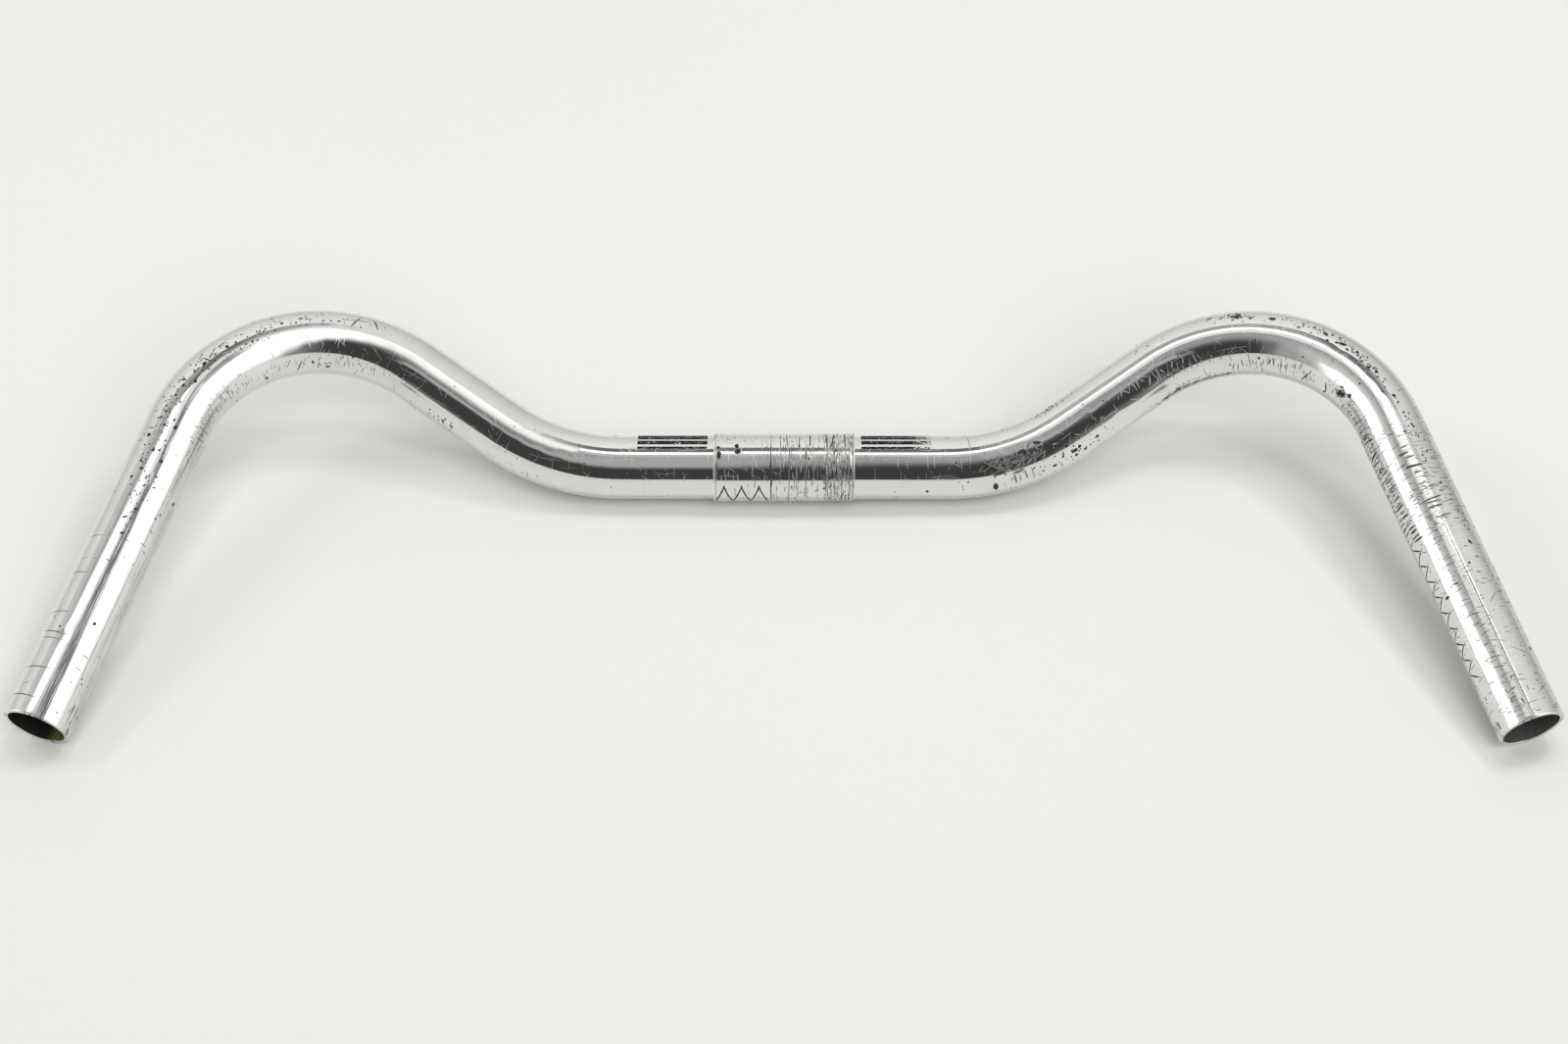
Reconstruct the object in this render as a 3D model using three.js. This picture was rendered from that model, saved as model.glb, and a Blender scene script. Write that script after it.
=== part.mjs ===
// Swept-back city handlebar: one bent, hollow tube with open ends, a plain sleeve around its
// middle where a stem clamps it, and two thin marks on the tube beside the sleeve.
// Millimetres, +Z up, +Y is forward on the bicycle and +X is the rider's right.
// The origin is the centre of the sleeve, on the tube's centre line.
// The bar lies as it would on a table: on the sleeve and on the lower edges of both ends.

import * as THREE from 'three';

// Tube and sleeve
const TUBE_RADIUS = 23.8 / 2;
const TUBE_WALL = 1.6;
const SLEEVE_RADIUS = 25.4 / 2;
const SLEEVE_LENGTH = 52.4;
const SLEEVE_CHAMFER = 0.15;
const FIT_GAP = 0.3;

// Centre line, for the right half: a straight middle, a corner that goes out, forward and up to
// the shoulder, and a corner that comes back along the grip.
const FIRST_CORNER_X = 85.3;
const FIRST_BEND_RADIUS = 77.6;
const SHOULDER_X = 197.9;
const SHOULDER_Y = 54.9;
const SHOULDER_BEND_RADIUS = 58.5;
const END_X = 258;
const END_Y = -126.1;
const GRIP_SLOPE = THREE.MathUtils.degToRad(16.1);

// Marks: patches that follow the tube's round top, leaning a little forward
const MARK_LENGTH = 26;
const MARK_START_X = 28.6;
const MARK_THICKNESS = 0.15;
const MARK_LEAN = THREE.MathUtils.degToRad(13.5);
const MARK_HALF_ANGLE = THREE.MathUtils.degToRad(23.5);

// Facets
const TUBE_ARC_DIVISIONS = 14;
const MARK_ARC_DIVISIONS = 5;
const SLEEVE_SIDES = 48;
const BEND_STEP = THREE.MathUtils.degToRad(6);

// The ends touch the plane that the sleeve lies on, and the shoulder's height follows from that.
const REST_Z = -SLEEVE_RADIUS;
const END_Z = REST_Z + TUBE_RADIUS * Math.cos(GRIP_SLOPE);
const GRIP_RUN = Math.hypot(END_X - SHOULDER_X, END_Y - SHOULDER_Y);
const SHOULDER_Z = END_Z + GRIP_RUN * Math.tan(GRIP_SLOPE);

const polishedAluminium = { color: 0xc9cacb, roughness: 0.18, metalness: 1 };
const scuffedAluminium = { color: 0xbfc0c1, roughness: 0.3, metalness: 1 };
const blackInk = { color: 0x141414, roughness: 0.45, metalness: 0 };

// A chain of straight lines whose inner corners are rounded, each with its own radius. Its
// stations are the ends of the straights and even steps around each bend, so that straights stay
// whole and only the bends are faceted.
class RoundedPath extends THREE.Curve {
    constructor(corners, radii) {
        super();
        this.stations = [];
        this.addStation(corners[0], direction(corners[0], corners[1]));
        for (let i = 1; i < corners.length - 1; i += 1) {
            this.addBend(corners[i - 1], corners[i], corners[i + 1], radii[i - 1]);
        }
        this.addStation(corners.at(-1), direction(corners.at(-2), corners.at(-1)));
    }

    addStation(point, tangent) {
        this.stations.push({ point: point.clone(), tangent: tangent.clone() });
    }

    addBend(before, corner, after, radius) {
        const inward = direction(before, corner);
        const outward = direction(corner, after);
        const angle = inward.angleTo(outward);
        const start = corner.clone().addScaledVector(inward, -radius * Math.tan(angle / 2));
        const axis = inward.clone().cross(outward).normalize();
        const toCentre = axis.clone().cross(inward).multiplyScalar(radius);
        const centre = start.clone().add(toCentre);
        const steps = Math.ceil(angle / BEND_STEP);
        for (let step = 0; step <= steps; step += 1) {
            const turn = (angle * step) / steps;
            const spoke = toCentre.clone().negate().applyAxisAngle(axis, turn);
            this.addStation(centre.clone().add(spoke), inward.clone().applyAxisAngle(axis, turn));
        }
    }

    get steps() {
        return this.stations.length - 1;
    }

    stationAt(u) {
        return this.stations[Math.round(u * this.steps)];
    }

    getPointAt(u, target = new THREE.Vector3()) {
        return target.copy(this.stationAt(u).point);
    }

    getTangentAt(u, target = new THREE.Vector3()) {
        return target.copy(this.stationAt(u).tangent);
    }
}

function direction(from, to) {
    return to.clone().sub(from).normalize();
}

function mirrored(point) {
    return new THREE.Vector3(-point.x, point.y, point.z);
}

function barPath() {
    const firstCorner = new THREE.Vector3(FIRST_CORNER_X, 0, 0);
    const shoulder = new THREE.Vector3(SHOULDER_X, SHOULDER_Y, SHOULDER_Z);
    const end = new THREE.Vector3(END_X, END_Y, END_Z);
    const rightCorners = [firstCorner, shoulder, end];
    const leftCorners = rightCorners.map(mirrored).reverse();
    const rightRadii = [FIRST_BEND_RADIUS, SHOULDER_BEND_RADIUS];
    const leftRadii = [...rightRadii].reverse();
    return new RoundedPath([...leftCorners, ...rightCorners], [...leftRadii, ...rightRadii]);
}

function ringShape(outerRadius, innerRadius) {
    const shape = new THREE.Shape();
    shape.absarc(0, 0, outerRadius, 0, 2 * Math.PI, false);
    const bore = new THREE.Path();
    bore.absarc(0, 0, innerRadius, 0, 2 * Math.PI, true);
    shape.holes.push(bore);
    return shape;
}

function tubeGeometry() {
    const path = barPath();
    return new THREE.ExtrudeGeometry(ringShape(TUBE_RADIUS, TUBE_RADIUS - TUBE_WALL), {
        steps: path.steps,
        extrudePath: path,
        curveSegments: TUBE_ARC_DIVISIONS,
        bevelEnabled: false,
    });
}

// A ring turned about the X axis, with its outer edges broken
function sleeveGeometry() {
    const half = SLEEVE_LENGTH / 2;
    const inner = TUBE_RADIUS + FIT_GAP;
    const profile = [
        [inner, -half],
        [SLEEVE_RADIUS - SLEEVE_CHAMFER, -half],
        [SLEEVE_RADIUS, -half + SLEEVE_CHAMFER],
        [SLEEVE_RADIUS, half - SLEEVE_CHAMFER],
        [SLEEVE_RADIUS - SLEEVE_CHAMFER, half],
        [inner, half],
        [inner, -half],
    ];
    const points = profile.map(([radius, along]) => new THREE.Vector2(radius, along));
    const geometry = new THREE.LatheGeometry(points, SLEEVE_SIDES);
    return geometry.rotateZ(-Math.PI / 2);
}

// A slice of ring over the tube's top, drawn in a plane whose X is the bar's +Y and whose Y is up
function markGeometry() {
    const inner = TUBE_RADIUS + FIT_GAP;
    const outer = inner + MARK_THICKNESS;
    const middle = Math.PI / 2 - MARK_LEAN;
    const from = middle - MARK_HALF_ANGLE;
    const to = middle + MARK_HALF_ANGLE;
    const shape = new THREE.Shape();
    shape.absarc(0, 0, outer, from, to, false);
    shape.absarc(0, 0, inner, to, from, true);
    shape.closePath();
    const geometry = new THREE.ExtrudeGeometry(shape, {
        depth: MARK_LENGTH,
        curveSegments: MARK_ARC_DIVISIONS,
        bevelEnabled: false,
    });
    // The drawing's X, Y and depth become the bar's Y, Z and X.
    geometry.rotateX(Math.PI / 2);
    geometry.rotateZ(Math.PI / 2);
    return geometry;
}

function meshNamed(name, geometry, look) {
    const mesh = new THREE.Mesh(geometry, new THREE.MeshStandardMaterial(look));
    mesh.name = name;
    return mesh;
}

function markMesh(name, startX) {
    const mesh = meshNamed(name, markGeometry(), blackInk);
    mesh.position.x = startX;
    return mesh;
}

const handlebar = new THREE.Group();
handlebar.add(meshNamed('bar_tube', tubeGeometry(), polishedAluminium));
handlebar.add(meshNamed('clamp_sleeve', sleeveGeometry(), scuffedAluminium));
handlebar.add(markMesh('left_mark', -MARK_START_X - MARK_LENGTH));
handlebar.add(markMesh('right_mark', MARK_START_X));

export default handlebar;
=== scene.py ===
import math
import random

import bpy
import numpy as np
from mathutils import Matrix, Vector


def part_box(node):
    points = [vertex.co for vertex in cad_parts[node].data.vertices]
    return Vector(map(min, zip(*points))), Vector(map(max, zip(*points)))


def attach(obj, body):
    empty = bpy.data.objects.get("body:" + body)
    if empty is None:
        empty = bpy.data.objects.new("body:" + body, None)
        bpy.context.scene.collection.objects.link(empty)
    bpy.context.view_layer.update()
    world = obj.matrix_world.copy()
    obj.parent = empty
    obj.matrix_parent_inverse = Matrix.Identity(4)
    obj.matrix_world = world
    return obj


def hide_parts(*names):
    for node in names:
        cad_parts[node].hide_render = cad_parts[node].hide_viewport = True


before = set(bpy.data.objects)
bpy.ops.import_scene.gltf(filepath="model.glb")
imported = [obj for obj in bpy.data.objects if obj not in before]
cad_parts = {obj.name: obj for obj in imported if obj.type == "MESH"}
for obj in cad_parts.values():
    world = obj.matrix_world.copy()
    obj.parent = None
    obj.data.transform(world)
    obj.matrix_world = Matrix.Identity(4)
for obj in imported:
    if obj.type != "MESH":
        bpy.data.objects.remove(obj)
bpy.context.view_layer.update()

# Swept-back city handlebar in used, polished aluminium. The frame is in metres. Sizes below are in
# millimetres, as they are in the design, and become metres where a mesh is made.
MM = 0.001

# ---------------------------------------------------------------- sizes

# A 23.8 mm tube with a 1.6 mm wall, and the sleeve as large as in the design
TUBE_RADIUS = 11.9
BORE_RADIUS = 10.3
SLEEVE_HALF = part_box("clamp_sleeve")[1][0] / MM
SLEEVE_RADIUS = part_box("clamp_sleeve")[1][2] / MM
REST_Z = -SLEEVE_RADIUS

# Centre line of the right half, as straight runs whose corners are rounded
GRIP_SLOPE = math.radians(16.1)
FIRST_CORNER = np.array((85.3, 0.0, 0.0))
SHOULDER_XY = (197.9, 54.9)
END_XY = (258.0, -126.1)
BEND_RADII = (77.6, 58.5)
END_Z = REST_Z + TUBE_RADIUS * math.cos(GRIP_SLOPE)
GRIP_RUN = math.dist(SHOULDER_XY, END_XY)
SHOULDER = np.array((*SHOULDER_XY, END_Z + GRIP_RUN * math.tan(GRIP_SLOPE)))
END = np.array((*END_XY, END_Z))

# How far the mouths' edges are rounded, and the radius halfway through the wall
RIM_BREAK = 0.3
MID_WALL = (TUBE_RADIUS + BORE_RADIUS) / 2

# How far bending has pressed the tube out of round, and its ripple
BEND_OVAL = 0.11
BEND_RIPPLE = 0.012

# The sleeve's bore clears the tube, and its outer edges are rounded by this much
SLEEVE_BORE = TUBE_RADIUS + 0.03
SLEEVE_EDGE = 0.22

# Mesh steps in mm, and sides round a section
STATION_STEP = 1.0
TUBE_SIDES = 120
SLEEVE_SIDES = 144
SLEEVE_STEP = 0.2

# How many stations the change from straight to bent is spread over
BEND_SPREAD = 15

# ---------------------------------------------------------------- centre line


def unit(vector):
    return vector / np.linalg.norm(vector)


def straight_stations(start, end):
    """Points from start up to but not including end, about a step apart, with their tangents."""
    count = max(1, round(np.linalg.norm(end - start) / STATION_STEP))
    return [(start + (end - start) * i / count, unit(end - start)) for i in range(count)]


def bend_stations(before, corner, after, radius):
    """The rounded corner's stations, and the points where the round starts and ends."""
    inward = unit(corner - before)
    outward = unit(after - corner)
    angle = math.acos(inward @ outward)
    start = corner - inward * radius * math.tan(angle / 2)
    stop = corner + outward * radius * math.tan(angle / 2)
    to_centre = unit(np.cross(np.cross(inward, outward), inward)) * radius
    count = round(radius * angle / STATION_STEP)
    stations = []
    for i in range(count):
        turn = angle * i / count
        point = start + to_centre * (1 - math.cos(turn)) + inward * radius * math.sin(turn)
        tangent = inward * math.cos(turn) + unit(to_centre) * math.sin(turn)
        stations.append((point, tangent))
    return stations, start, stop


def right_half():
    """Stations from the bar's middle to the right end: points, tangents and a bend weight."""
    corners = [np.zeros(3), FIRST_CORNER, SHOULDER, END]
    stations = []
    bent = []
    here = corners[0]
    for i, radius in enumerate(BEND_RADII, start=1):
        bend, start, stop = bend_stations(corners[i - 1], corners[i], corners[i + 1], radius)
        straight = straight_stations(here, start)
        stations += straight + bend
        bent += [0.0] * len(straight) + [1.0] * len(bend)
        here = stop
    straight = straight_stations(here, END)
    stations += straight + [(END, unit(END - SHOULDER))]
    bent += [0.0] * (len(straight) + 1)
    points = np.array([p for p, _ in stations])
    tangents = np.array([t for _, t in stations])
    return points, tangents, np.array(bent)


def carried_normals(tangents):
    """A normal for each station, carried along the line without twist from straight up."""
    normals = []
    normal = np.array((0.0, 0.0, 1.0))
    for tangent in tangents:
        normal = unit(normal - tangent * (normal @ tangent))
        normals.append(normal)
    return np.array(normals)


def mirrored(rows):
    """The left half's rows, from the left end to just short of the middle."""
    return (rows * (-1, 1, 1))[:0:-1]


class CentreLine:
    """Stations along the whole bar, left end to right end, with the two section directions."""

    def __init__(self):
        points, tangents, bent = right_half()
        up = carried_normals(tangents)
        side = np.cross(tangents, up)
        self.points = np.vstack((mirrored(points), points))
        self.up = np.vstack((mirrored(up), up))
        self.side = np.vstack((mirrored(side), side))
        self.tangents = np.vstack((mirrored(tangents) * -1, tangents))
        steps = np.linalg.norm(np.diff(points, axis=0), axis=1)
        along = np.concatenate(([0.0], np.cumsum(steps)))
        self.along = np.concatenate((-along[:0:-1], along))
        spread = np.ones(BEND_SPREAD) / BEND_SPREAD
        self.bent = np.convolve(np.concatenate((bent[:0:-1], bent)), spread, mode="same")


# ---------------------------------------------------------------- mesh helpers


def new_piece(name, vertices, faces, unbent, materials, face_materials=None):
    """A mesh object in metres, with the place of each vertex on the straightened bar in mm."""
    mesh = bpy.data.meshes.new(name)
    mesh.from_pydata((np.asarray(vertices) * MM).tolist(), [], faces)
    store(mesh, "unbent", "POINT", unbent)
    for material in materials:
        mesh.materials.append(material)
    if face_materials is not None:
        mesh.polygons.foreach_set("material_index", face_materials)
    mesh.polygons.foreach_set("use_smooth", [True] * len(mesh.polygons))
    mesh.update()
    piece = bpy.data.objects.new(name, mesh)
    bpy.context.scene.collection.objects.link(piece)
    return piece


def store(mesh, name, domain, rows):
    attribute = mesh.attributes.new(name, "FLOAT_VECTOR", domain)
    attribute.data.foreach_set("vector", np.asarray(rows, dtype=np.float32).ravel())


def in_frame_of(row, along, angle):
    """Places on the bar in the frame of a mark: mm along and across the mark."""
    at, degrees, _, _, turn = row[:5]
    x = along - at
    y = np.angle(np.exp(1j * (angle - math.radians(degrees)))) * TUBE_RADIUS
    c, s = math.cos(math.radians(turn)), math.sin(math.radians(turn))
    return c * x - s * y, s * x + c * y


# How far round a mark its faces are looked for, in mm, and what a face far from any mark holds
MARK_MARGIN = 4.0
NO_MARK = (9.0, 9.0, 0.0)


def store_marks(piece, rows):
    """Give each face corner its place in the frame of the one mark nearest to the face, as shares
    of the mark's half length and half width, with the mark's strength."""
    mesh = piece.data
    unbent = np.empty(len(mesh.vertices) * 3, dtype=np.float32)
    mesh.attributes["unbent"].data.foreach_get("vector", unbent)
    unbent = unbent.reshape(-1, 3)
    corners = np.empty(len(mesh.loops), dtype=np.int32)
    mesh.loops.foreach_get("vertex_index", corners)
    along = unbent[corners, 0]
    angle = np.arctan2(unbent[corners, 1], unbent[corners, 2])
    along = along.reshape(-1, 4)
    angle = angle.reshape(-1, 4)
    best = np.full(len(along), np.inf)
    found = np.tile(NO_MARK, (len(along), 4, 1))
    for row in rows:
        reach = max(row[2:4]) + MARK_MARGIN
        near = np.flatnonzero(np.abs(along[:, 0] - row[0]) < reach)
        x, y = in_frame_of(row, along[near], angle[near])
        centre_x = np.abs(x.mean(axis=1))
        centre_y = np.abs(y.mean(axis=1))
        gap = np.hypot(np.maximum(centre_x - row[2], 0), np.maximum(centre_y - row[3], 0))
        # Where marks overlap, the one whose middle is nearer is taken.
        gap = gap + 0.001 * np.hypot(centre_x / row[2], centre_y / row[3])
        nearer = gap < best[near]
        faces = near[nearer]
        best[faces] = gap[nearer]
        found[faces, :, 0] = x[nearer] / row[2]
        found[faces, :, 1] = y[nearer] / row[3]
        found[faces, :, 2] = row[5]
    store(mesh, "mark", "CORNER", found)


def in_places(rows, along, angle):
    """How far each point lies in a list of soft-edged oval places: 1 inside, 0 outside."""
    most = np.zeros(len(along))
    for row in rows:
        x, y = in_frame_of(row, along, angle)
        most = np.maximum(most, np.clip(1.5 - np.hypot(x / row[2], y / row[3]), 0, 1))
    return most * most * (3 - 2 * most)


def ring_grid_faces(rings, sides, closed):
    """Quads between rings of equal size; a closed grid joins the last ring to the first."""
    faces = []
    for ring in range(rings if closed else rings - 1):
        this = ring * sides
        following = (ring + 1) % rings * sides
        for i in range(sides):
            j = (i + 1) % sides
            faces.append((this + i, this + j, following + j, following + i))
    return faces


def section_angles(sides):
    return np.linspace(0, 2 * math.pi, sides, endpoint=False)


# ---------------------------------------------------------------- wear

# Places and marks are rows of: mm from the bar's middle, degrees round the tube from its top
# towards the rider, half length and half width in mm, and the turn of the length from the tube's
# own line in degrees. A mark also has a strength: above 0 for a dark mark and below 0 for a bright
# scratch.

RUBBED_PLACES = (
    (87, 53, 11, 4, 0), (108, -18, 9, 2, 0), (88, 90, 9, 2, 0), (163, 62, 16, 3, 0),
    (160, 106, 20, 2.5, 0), (197, 80, 20, 3.5, 0), (265, 75, 30, 4, 0), (279, 14, 15, 6, 0),
    (235, 70, 9, 4, 0), (280, -22, 20, 3, 0), (-185, 78, 26, 2.5, 0), (-240, 70, 22, 4, 0),
    (60, -30, 9, 2, 0),
)
PITTED_PLACES = (
    (181, -12, 11, 2.5, 0), (208, -10, 14, 2.5, 0), (230, -6, 16, 3, 0), (160, 108, 20, 2, 0),
    (106, 80, 14, 5, 0), (86, 54, 11, 4, 0), (-218, 4, 20, 3.5, 0), (-185, 0, 24, 2.5, 0),
    (-255, -10, 24, 4, 0), (-128, 94, 8, 2, 0), (-285, 15, 22, 3, 0), (262, -14, 12, 3, 0),
)
TUBE_SPOTS = (
    (77, 94, 0.9, 2.0, 0, 1), (106, 96, 0.5, 0.9, 0, 1), (121, 62, 1.0, 0.9, 0, 0.8),
    (232, 68, 2.6, 1.5, 20, 1), (236, 58, 1.0, 0.9, 0, 1), (324, 60, 0.6, 1.0, 0, 1),
    (-183, 92, 1.1, 0.6, 0, 1), (-283, 82, 0.7, 0.7, 0, 1), (-190, 80, 0.5, 0.8, 0, 1),
    (-128, 96, 0.8, 0.5, 0, 1), (-124, 96, 0.6, 0.5, 0, 1), (-258, 20, 0.9, 0.7, 0, 1),
    (182, -12, 1.8, 1.3, 0, 1), (194, -9, 1.3, 0.9, 0, 1), (152, 104, 1.5, 0.7, 0, 1),
    (220, -8, 1.5, 0.8, 20, 1), (213, -10, 1.3, 0.7, -30, 1), (-212, 92, 0.8, 0.8, 0, 1),
    (106, 84, 1.0, 0.8, 30, 1), (98, 92, 0.8, 0.7, 0, 1), (308, -20, 1.2, 0.5, 30, 1),
)
TUBE_CUTS_AND_PAINTED_LINE = (
    (69.5, -5, 0.16, 3.4, 4, 0.8), (-174, -4, 0.3, 3.2, -28, 1), (-167, -9, 0.28, 2.6, 25, 1),
    (-232, 2, 3.4, 0.3, 24, 1), (-229, -2, 0.28, 2.6, 12, 1), (-337, -30, 0.2, 5, 3, 0.8),
    (-345, -22, 0.22, 6, -2, 0.9), (-347.5, -22, 0.18, 5, 0, 0.8), (-359, -26, 0.22, 6.5, 3, 0.9),
    (-370, -24, 0.2, 6, -3, 0.9), (-321, -26, 0.2, 4, 5, 0.8), (-306, -30, 0.18, 3, 8, 0.8),
    (-378, -30, 0.2, 5, 2, 0.8), (-173, -8, 4, 0.22, 8, 0.8), (-240, -12, 0.25, 2.2, 20, 0.9),
    (346, 14, 0.2, 3.4, -24, 0.7), (362, 10, 0.18, 3.8, -12, 0.7), (-196, 86, 0.3, 3, -22, 1),
    (213, 84, 0.3, 3, -30, 1), (224, 80, 0.26, 2.4, 16, 1), (330, -16, 0.2, 3.6, 40, 0.7),
    # The long cut along the right grip at 338 mm and 10 degrees is a painted reflection: the
    # studio's dark roof slot, drawn as a dark line.
    (338, 10, 48, 0.28, 0, 0.7), (352, -20, 0.18, 4.5, -34, 0.7), (367, -26, 0.18, 3.5, 28, 0.7),
    (146, 107, 2.4, 0.5, 8, 1), (151, 108, 2.2, 0.45, -12, 1), (156, 108, 2.4, 0.5, 10, 1),
    (161, 109, 2.2, 0.5, -10, 1), (166, 109, 2.4, 0.5, 8, 1), (171, 110, 2.2, 0.45, -6, 1),
    (176, 110, 2.4, 0.4, 4, 1),
)
# Combs of cuts across the tube, as brake levers, tape and rubbing cables leave: first and last mm,
# degrees at each, how many, half length of a cut, its half width, its largest lean and its strength
COMBS = (
    (248, 302, 80, 68, 30, 2.8, 0.42, 7, 1.1), (254, 300, 98, 88, 24, 2.2, 0.42, 9, 1.1),
    (266, 298, 20, 8, 12, 3.6, 0.42, 6, 1.0), (262, 300, -14, -26, 15, 3.0, 0.2, 10, 0.7),
    (180, 216, 86, 68, 22, 1.8, 0.28, 18, 1.0), (236, 262, 84, 84, 14, 2.2, 0.3, 30, 1.0),
    (-210, -165, 74, 86, 14, 1.5, 0.24, 24, 0.7), (-245, -212, 70, 84, 18, 1.6, 0.2, 20, 0.7),
    (100, 114, -18, -18, 9, 1.7, 0.34, 14, 1.0), (56, 69, -32, -30, 10, 1.0, 0.25, 10, 0.8),
    (83, 92, 84, 92, 4, 3.0, 0.3, 3, 1.0), (140, 178, 60, 62, 10, 1.7, 0.24, 40, 0.9),
    (216, 236, -14, -4, 9, 1.3, 0.34, 50, 1.0), (298, 385, 32, 24, 38, 2.3, 0.22, 20, 0.9),
    (300, 382, 34, 20, 22, 1.9, 0.2, 20, -0.8), (-205, -170, 44, 40, 6, 2.4, 0.22, 6, -0.8),
    (-380, -300, 70, 92, 10, 1.6, 0.18, 40, 0.5),
    (132, 168, 44, 58, 15, 2.4, 0.22, 45, -1.0), (268, 300, 16, 4, 10, 3.0, 0.22, 8, -0.8),
    (78, 98, 52, 54, 10, 1.8, 0.22, 60, -0.9), (-150, -120, 56, 56, 4, 1.4, 0.16, 40, -0.4),
)
# Clusters of spots and short scratches: mm, degrees, half length and half width of the cluster, how
# many, the largest half length and half width of one, and its strength
CLUSTERS = (
    (86, 47, 9, 2.5, 13, 2.6, 0.9, 1), (88, 52, 10, 3, 16, 2.4, 0.22, -1),
    (84, 58, 8, 2.5, 12, 2.6, 0.9, 1), (106, 88, 9, 3, 7, 0.7, 0.7, 1),
    (181, -12, 5, 1.8, 13, 1.1, 0.6, 1), (207, -10, 9, 2, 13, 0.9, 0.5, 1),
    (230, -6, 11, 2.5, 18, 1.0, 0.5, 1), (160, 114, 18, 1, 12, 1.5, 0.5, 1),
    (232, 67, 3, 1.8, 7, 1.4, 0.7, 1), (245, 76, 8, 3, 10, 1.1, 0.6, 1),
    (-190, -2, 16, 1.5, 14, 0.6, 0.5, 1), (-228, -4, 10, 3.5, 15, 1.6, 0.4, 1),
    (-218, 12, 8, 1.5, 8, 0.7, 0.5, 1), (-250, -12, 12, 4, 14, 0.9, 0.45, 1),
    (-186, 90, 12, 2, 6, 0.6, 0.6, 1), (262, -12, 8, 3, 9, 0.6, 0.5, 1),
    (-285, 12, 20, 2, 16, 1.0, 0.4, 1), (300, -30, 14, 3, 8, 0.6, 0.5, 1),
    (360, -25, 14, 4, 6, 0.6, 0.5, 1), (-128, 90, 8, 3, 5, 0.6, 0.5, 1),
    (150, -8, 14, 2, 6, 0.6, 0.4, 0.8), (90, 52, 8, 2.5, 10, 2.6, 0.9, 1),
    (82, 56, 7, 2.5, 8, 2.4, 0.9, 1), (-374, 80, 9, 3.5, 14, 2.6, 0.35, 1),
    (374, 86, 9, 3, 12, 2.2, 0.35, 1), (-383, 10, 3, 6, 8, 1.6, 0.3, 1),
    (370, 20, 8, 4, 8, 2.0, 0.3, 1),
)
# The stitched line on the inner side of the right grip: first and last mm, degrees, how many
# strokes, half length, half width and turn of one
STITCHES = (302, 356, 83, 17, 3.9, 0.3, 58)


def combed(draw, first, last, angle, last_angle, count, length, width, lean, strength):
    """The cuts of one comb, from left to right, each a little out of step."""
    rows = []
    for i in range(count):
        share = (i + draw.uniform(-0.45, 0.45)) / count
        rows.append((
            first + (last - first) * share,
            angle + (last_angle - angle) * share + draw.uniform(-5, 5),
            width * draw.uniform(0.6, 1.2),
            length * draw.uniform(0.35, 1.1),
            draw.uniform(-lean, lean),
            strength * draw.uniform(0.6, 1.0),
        ))
    return rows


def clustered(draw, along, angle, half_length, half_width, count, length, width, strength):
    """The spots and scratches of one cluster."""
    return [
        (
            along + draw.gauss(0, 0.5) * half_length,
            angle + math.degrees(draw.gauss(0, 0.5) * half_width / TUBE_RADIUS),
            length * draw.uniform(0.25, 1.0),
            width * draw.uniform(0.4, 1.0),
            draw.uniform(-25, 25),
            strength * draw.uniform(0.7, 1.0),
        )
        for _ in range(count)
    ]


def stitched(first, last, angle, count, length, width, turn):
    """A zigzag of straight strokes along the tube."""
    return [
        (first + (last - first) * i / count, angle, length, width, turn * (-1) ** i, 1)
        for i in range(count)
    ]


def tube_marks():
    draw = random.Random(31)
    rows = list(TUBE_SPOTS + TUBE_CUTS_AND_PAINTED_LINE) + stitched(*STITCHES)
    for comb in COMBS:
        rows += combed(draw, *comb)
    for cluster in CLUSTERS:
        rows += clustered(draw, *cluster)
    return rows


# On the sleeve: the rings that clamps have cut round it, and its spots and nicks
CLAMP_RINGS = (
    (-4.9, 60, 0.24, 16, 0, 1), (-1.3, 20, 0.15, 9, 0, 0.7), (1.8, 50, 0.17, 12, 0, 0.8),
    (4.6, 40, 0.13, 14, 0, 0.6), (8.0, 55, 0.16, 13, 0, 0.8), (10.9, 30, 0.14, 9, 0, 0.7),
    (-8.2, 5, 0.12, 5, 0, 0.5), (-2.8, 110, 0.13, 4, 0, 0.7), (1.6, 105, 0.2, 4, 0, 0.8),
    (12.4, 70, 0.1, 8, 0, 0.5), (16.0, 60, 0.16, 14, 0, 0.7), (18.6, 40, 0.18, 15, 0, 0.8),
    (21.3, 70, 0.16, 15, 0, 0.8), (24.0, 50, 0.15, 13, 0, 0.7), (17.4, 30, 0.2, 6, 12, -1),
    (20.0, 74, 0.2, 7, -10, -1), (22.6, 20, 0.18, 6, 8, -1), (19.2, 100, 0.2, 5, 0, -1),
    (15.8, -10, 0.24, 5, 3, 1), (18.0, -8, 0.22, 5, -4, 1), (22.4, -12, 0.24, 5, 3, 1),
    (1.0, -8, 0.2, 4, 3, 0.9), (5.6, -4, 0.2, 4, -3, 0.9), (9.6, -10, 0.22, 4, 2, 1),
)
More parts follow.
